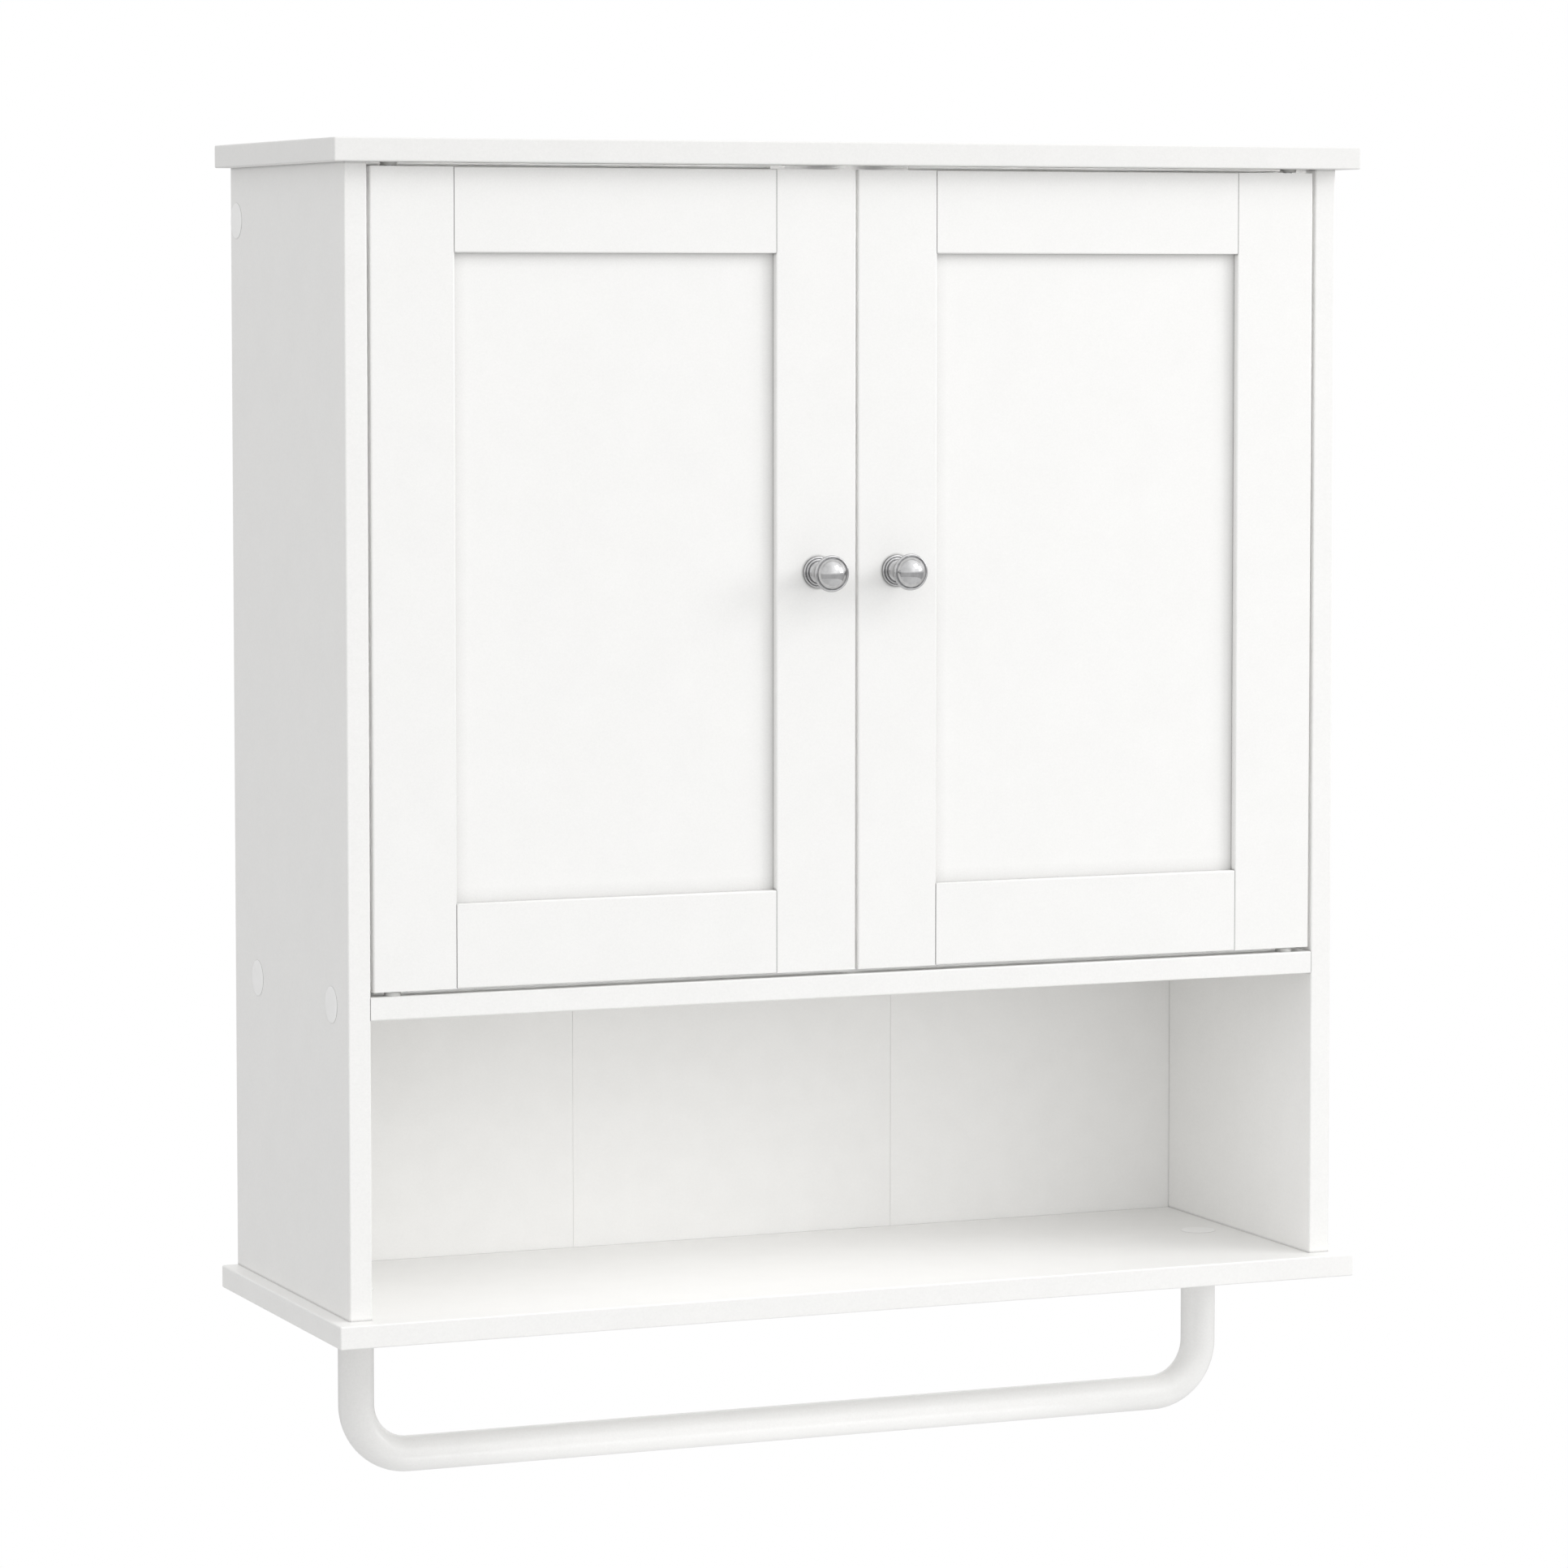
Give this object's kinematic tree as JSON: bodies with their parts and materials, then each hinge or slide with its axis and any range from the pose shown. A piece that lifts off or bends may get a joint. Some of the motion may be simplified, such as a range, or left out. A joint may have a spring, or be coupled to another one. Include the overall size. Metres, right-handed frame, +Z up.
{
  "type": "hanging wall cabinet",
  "caption": "Shallow white wall cabinet with a pair of framed doors on pivot pins, an open shelf below them and a bent towel bar under the bottom board.",
  "frame": {"origin": "midway between the two wall screw holes in the hanging rail, on the plane of the wall", "axes": "+X to the right seen from the front, +Y towards the wall, +Z up"},
  "size_m": [0.58, 0.2166, 0.7004],
  "materials": {
    "white_foil": "satin white foil over board, with banded edges",
    "white_lacquer": "satin white lacquer on the door frames and panels",
    "painted_hardboard": "hardboard painted white on its front, raw brown on its rear",
    "white_tape": "matt adhesive tape over the folds",
    "white_vinyl": "satin vinyl discs",
    "white_powder_coat": "semi-gloss white powder coat on steel tube",
    "chrome": "polished chrome plate",
    "zinc_steel": "bright zinc plated steel",
    "beech": "raw fluted beech",
    "white_nylon": "moulded white nylon",
    "natural_nylon": "translucent natural nylon",
    "ferrite": "sintered black ferrite"
  },
  "bodies": {
    "carcass": {"top_board": "white_foil", "bottom_board": "white_foil", "left_side_panel": "white_foil", "right_side_panel": "white_foil", "middle_shelf": "white_foil", "inner_shelf": "white_foil", "back_panel_left": "painted_hardboard", "back_panel_centre": "painted_hardboard", "back_panel_right": "painted_hardboard", "back_fold_tapes": "white_tape", "hanging_rail": "white_foil", "top_board_screws": "zinc_steel", "bottom_board_screws": "zinc_steel", "middle_shelf_screws": "zinc_steel", "hanging_rail_screws": "zinc_steel", "wood_dowels": "beech", "top_screw_caps": "white_vinyl", "side_screw_caps": "white_vinyl", "towel_bar_screw_caps": "white_vinyl", "shelf_pins": "zinc_steel", "towel_bar": "white_powder_coat", "towel_bar_inserts": "zinc_steel", "towel_bar_screws": "zinc_steel", "catch_housing": "white_nylon", "catch_magnets": "ferrite", "catch_pole_plates": "zinc_steel", "catch_screws": "zinc_steel", "top_pivot_bushes": "natural_nylon", "bottom_pivot_bushes": "natural_nylon"},
    "left_door": {"left_outer_stile": "white_lacquer", "left_inner_stile": "white_lacquer", "left_top_rail": "white_lacquer", "left_bottom_rail": "white_lacquer", "left_door_panel": "white_lacquer", "left_knob": "chrome", "left_knob_screw": "zinc_steel", "left_top_pivot_pin": "zinc_steel", "left_bottom_pivot_pin": "zinc_steel", "left_strike_plate": "zinc_steel", "left_strike_screw": "zinc_steel"},
    "right_door": {"right_outer_stile": "white_lacquer", "right_inner_stile": "white_lacquer", "right_top_rail": "white_lacquer", "right_bottom_rail": "white_lacquer", "right_door_panel": "white_lacquer", "right_knob": "chrome", "right_knob_screw": "zinc_steel", "right_top_pivot_pin": "zinc_steel", "right_bottom_pivot_pin": "zinc_steel", "right_strike_plate": "zinc_steel", "right_strike_screw": "zinc_steel"}
  },
  "joints": [
    {"name": "left_door_hinge", "type": "hinge", "parent": "carcass", "child": "left_door", "pos_m": [-0.2553, -0.185, -0.1835], "axis": [0, 0, -1], "range_deg": [0, 120]},
    {"name": "right_door_hinge", "type": "hinge", "parent": "carcass", "child": "right_door", "pos_m": [0.2553, -0.185, -0.1835], "axis": [0, 0, 1], "range_deg": [0, 120]}
  ]
}
